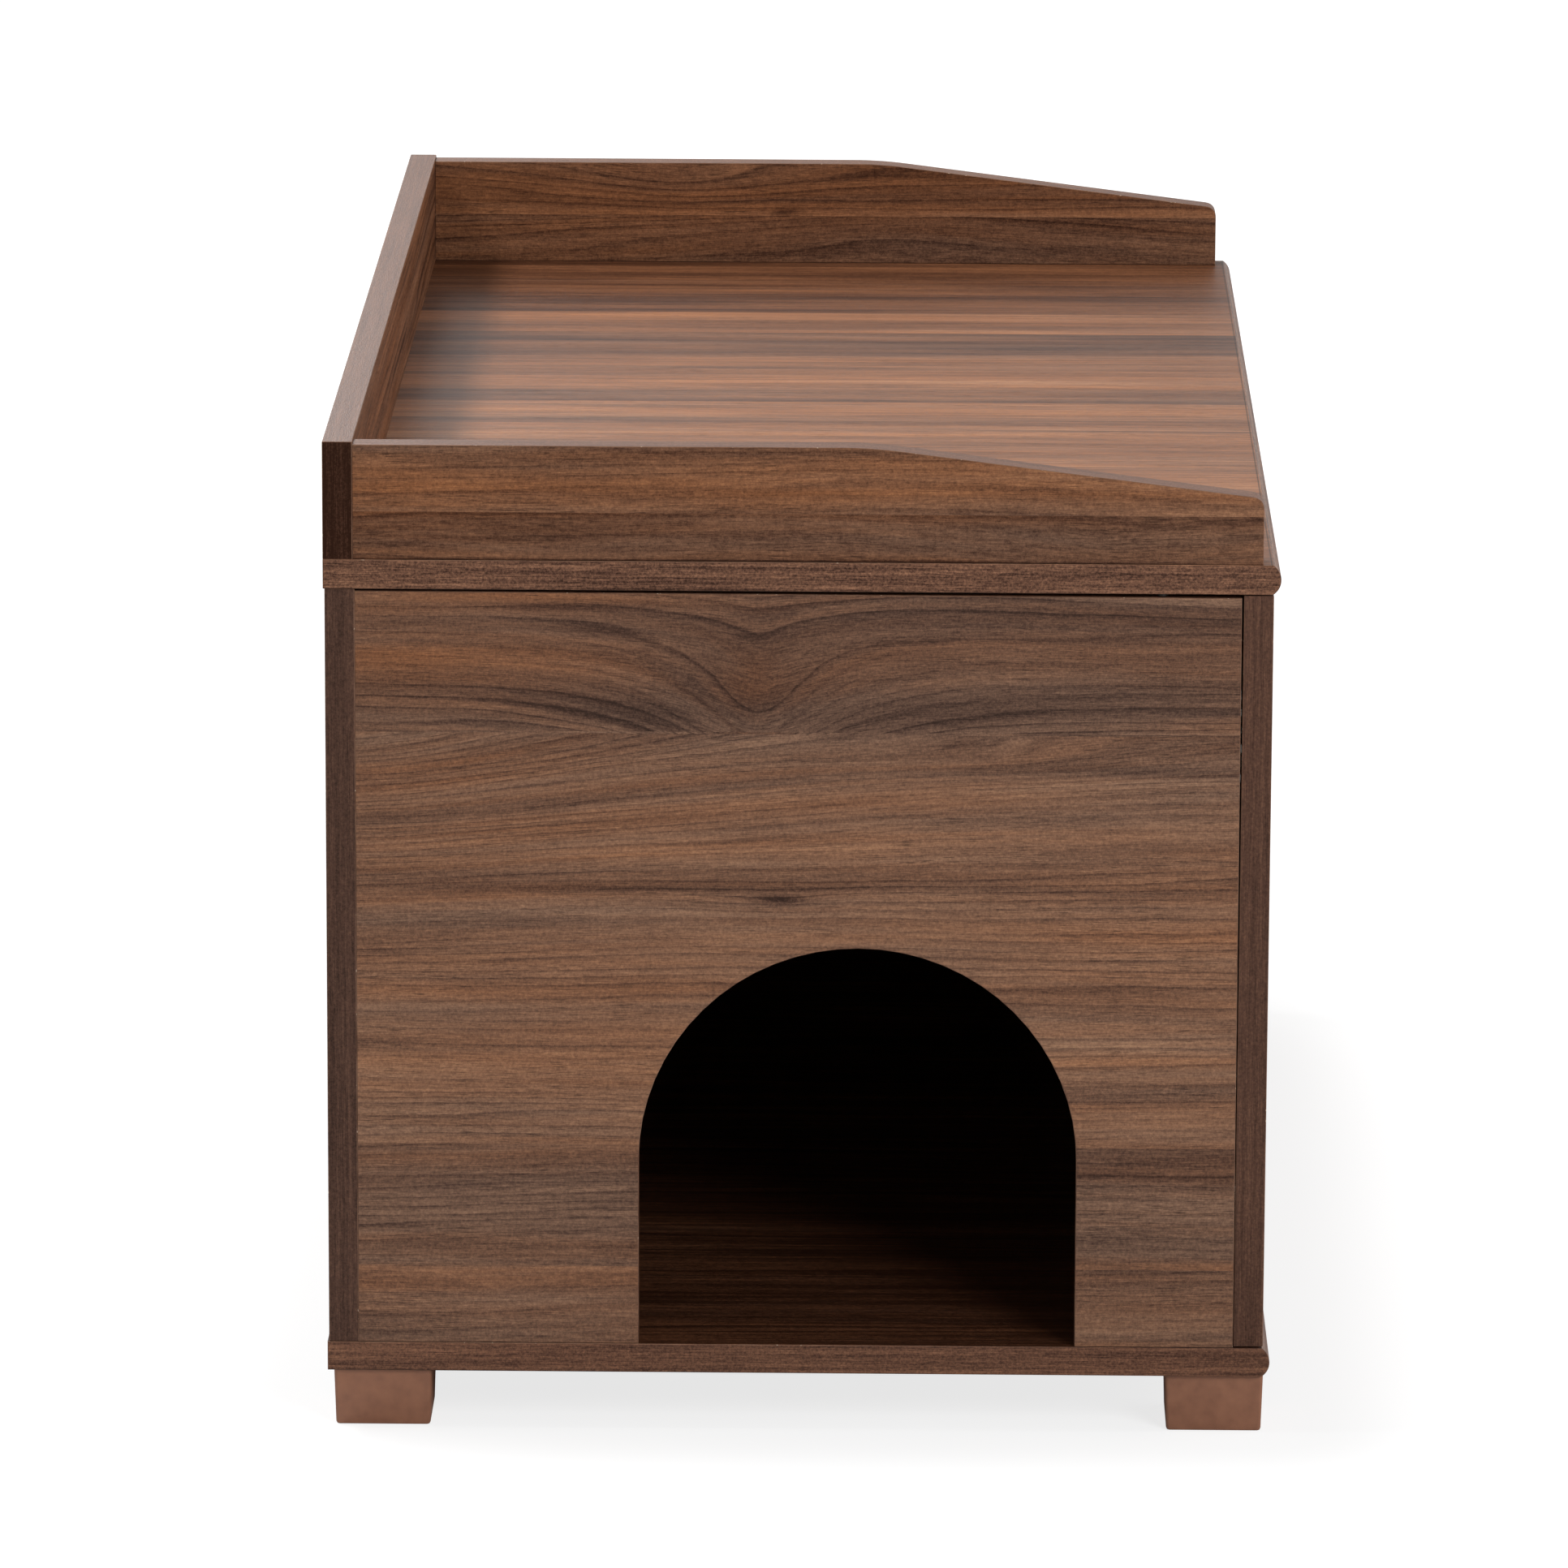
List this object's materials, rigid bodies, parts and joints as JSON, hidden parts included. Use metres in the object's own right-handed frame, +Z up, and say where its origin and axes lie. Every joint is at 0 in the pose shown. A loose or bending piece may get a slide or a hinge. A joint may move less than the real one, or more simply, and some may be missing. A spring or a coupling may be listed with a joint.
{
  "type": "cat litter box cabinet",
  "caption": "Low walnut-look litter box cabinet with hinged front doors, an arched way in at the side and a raised rail round the top, on short square feet.",
  "frame": {"origin": "on the floor under the middle of the cabinet", "axes": "+Z up, +X towards the right-hand end seen from the front, +Y towards the back; the doors face -Y and the arched way in is at -X"},
  "size_m": [0.88, 0.48, 0.512],
  "materials": {
    "walnut_foil": "walnut-printed melamine foil on particle board, satin",
    "foot_paint": "brown paint, matt",
    "nickel_plate": "nickel plated, satin",
    "zinc_casting": "bare zinc alloy casting",
    "plain_beech": "plain beech, unfinished"
  },
  "bodies": {
    "cabinet": {"bottom_board": "walnut_foil", "top_board": "walnut_foil", "left_side_panel": "walnut_foil", "right_side_panel": "walnut_foil", "back_panel": "walnut_foil", "gallery_back_rail": "walnut_foil", "gallery_left_rail": "walnut_foil", "gallery_right_rail": "walnut_foil", "foot_front_left": "foot_paint", "foot_front_right": "foot_paint", "foot_rear_left": "foot_paint", "foot_rear_right": "foot_paint", "left_upper_hinge_arm": "nickel_plate", "left_upper_hinge_plate": "zinc_casting", "left_lower_hinge_arm": "nickel_plate", "left_lower_hinge_plate": "zinc_casting", "left_cam_upper_front": "zinc_casting", "left_cam_bolt_upper_front": "zinc_casting", "left_cam_upper_rear": "zinc_casting", "left_cam_bolt_upper_rear": "zinc_casting", "left_cam_lower_front": "zinc_casting", "left_cam_bolt_lower_front": "zinc_casting", "left_cam_lower_rear": "zinc_casting", "left_cam_bolt_lower_rear": "zinc_casting", "right_upper_hinge_arm": "nickel_plate", "right_upper_hinge_plate": "zinc_casting", "right_lower_hinge_arm": "nickel_plate", "right_lower_hinge_plate": "zinc_casting", "right_cam_upper_front": "zinc_casting", "right_cam_bolt_upper_front": "zinc_casting", "right_cam_upper_rear": "zinc_casting", "right_cam_bolt_upper_rear": "zinc_casting", "right_cam_lower_front": "zinc_casting", "right_cam_bolt_lower_front": "zinc_casting", "right_cam_lower_rear": "zinc_casting", "right_cam_bolt_lower_rear": "zinc_casting", "rail_dowel_back_left": "plain_beech", "rail_dowel_back_middle": "plain_beech", "rail_dowel_back_right": "plain_beech", "rail_dowel_left_rear": "plain_beech", "rail_dowel_left_front": "plain_beech", "rail_dowel_right_rear": "plain_beech", "rail_dowel_right_front": "plain_beech"},
    "left_door": {"left_door": "walnut_foil", "left_upper_hinge_cup": "nickel_plate", "left_lower_hinge_cup": "nickel_plate"},
    "left_outer_links": {"left_upper_hinge_outer_link": "nickel_plate", "left_lower_hinge_outer_link": "nickel_plate"},
    "left_inner_links": {"left_upper_hinge_inner_link": "nickel_plate", "left_lower_hinge_inner_link": "nickel_plate"},
    "right_door": {"right_door": "walnut_foil", "right_upper_hinge_cup": "nickel_plate", "right_lower_hinge_cup": "nickel_plate"},
    "right_outer_links": {"right_upper_hinge_outer_link": "nickel_plate", "right_lower_hinge_outer_link": "nickel_plate"},
    "right_inner_links": {"right_upper_hinge_inner_link": "nickel_plate", "right_lower_hinge_inner_link": "nickel_plate"}
  },
  "joints": [
    {"name": "left_outer_link_turn", "type": "hinge", "parent": "cabinet", "child": "left_outer_links", "pos_m": [-0.409, -0.2102, 0.241], "axis": [0, 0, 1], "range_deg": [0, 32.6]},
    {"name": "left_door_swing", "type": "hinge", "parent": "left_outer_links", "child": "left_door", "pos_m": [-0.4301, -0.2244, 0.241], "axis": [0, 0, -1], "range_deg": [0, 124.5]},
    {"name": "left_inner_link_turn", "type": "hinge", "parent": "left_door", "child": "left_inner_links", "pos_m": [-0.4307, -0.2295, 0.241], "axis": [0, 0, 1], "range_deg": [0, 111.1]},
    {"name": "right_outer_link_turn", "type": "hinge", "parent": "cabinet", "child": "right_outer_links", "pos_m": [0.409, -0.2102, 0.241], "axis": [0, 0, -1], "range_deg": [0, 32.6]},
    {"name": "right_door_swing", "type": "hinge", "parent": "right_outer_links", "child": "right_door", "pos_m": [0.4301, -0.2244, 0.241], "axis": [0, 0, 1], "range_deg": [0, 124.5]},
    {"name": "right_inner_link_turn", "type": "hinge", "parent": "right_door", "child": "right_inner_links", "pos_m": [0.4307, -0.2295, 0.241], "axis": [0, 0, -1], "range_deg": [0, 111.1]}
  ],
  "couplings": [
    {"joint": "left_outer_link_turn", "follows": "left_door_swing", "ratio": 0.26104},
    {"joint": "left_inner_link_turn", "follows": "left_door_swing", "ratio": 0.89157},
    {"joint": "right_outer_link_turn", "follows": "right_door_swing", "ratio": 0.26104},
    {"joint": "right_inner_link_turn", "follows": "right_door_swing", "ratio": 0.89157}
  ]
}
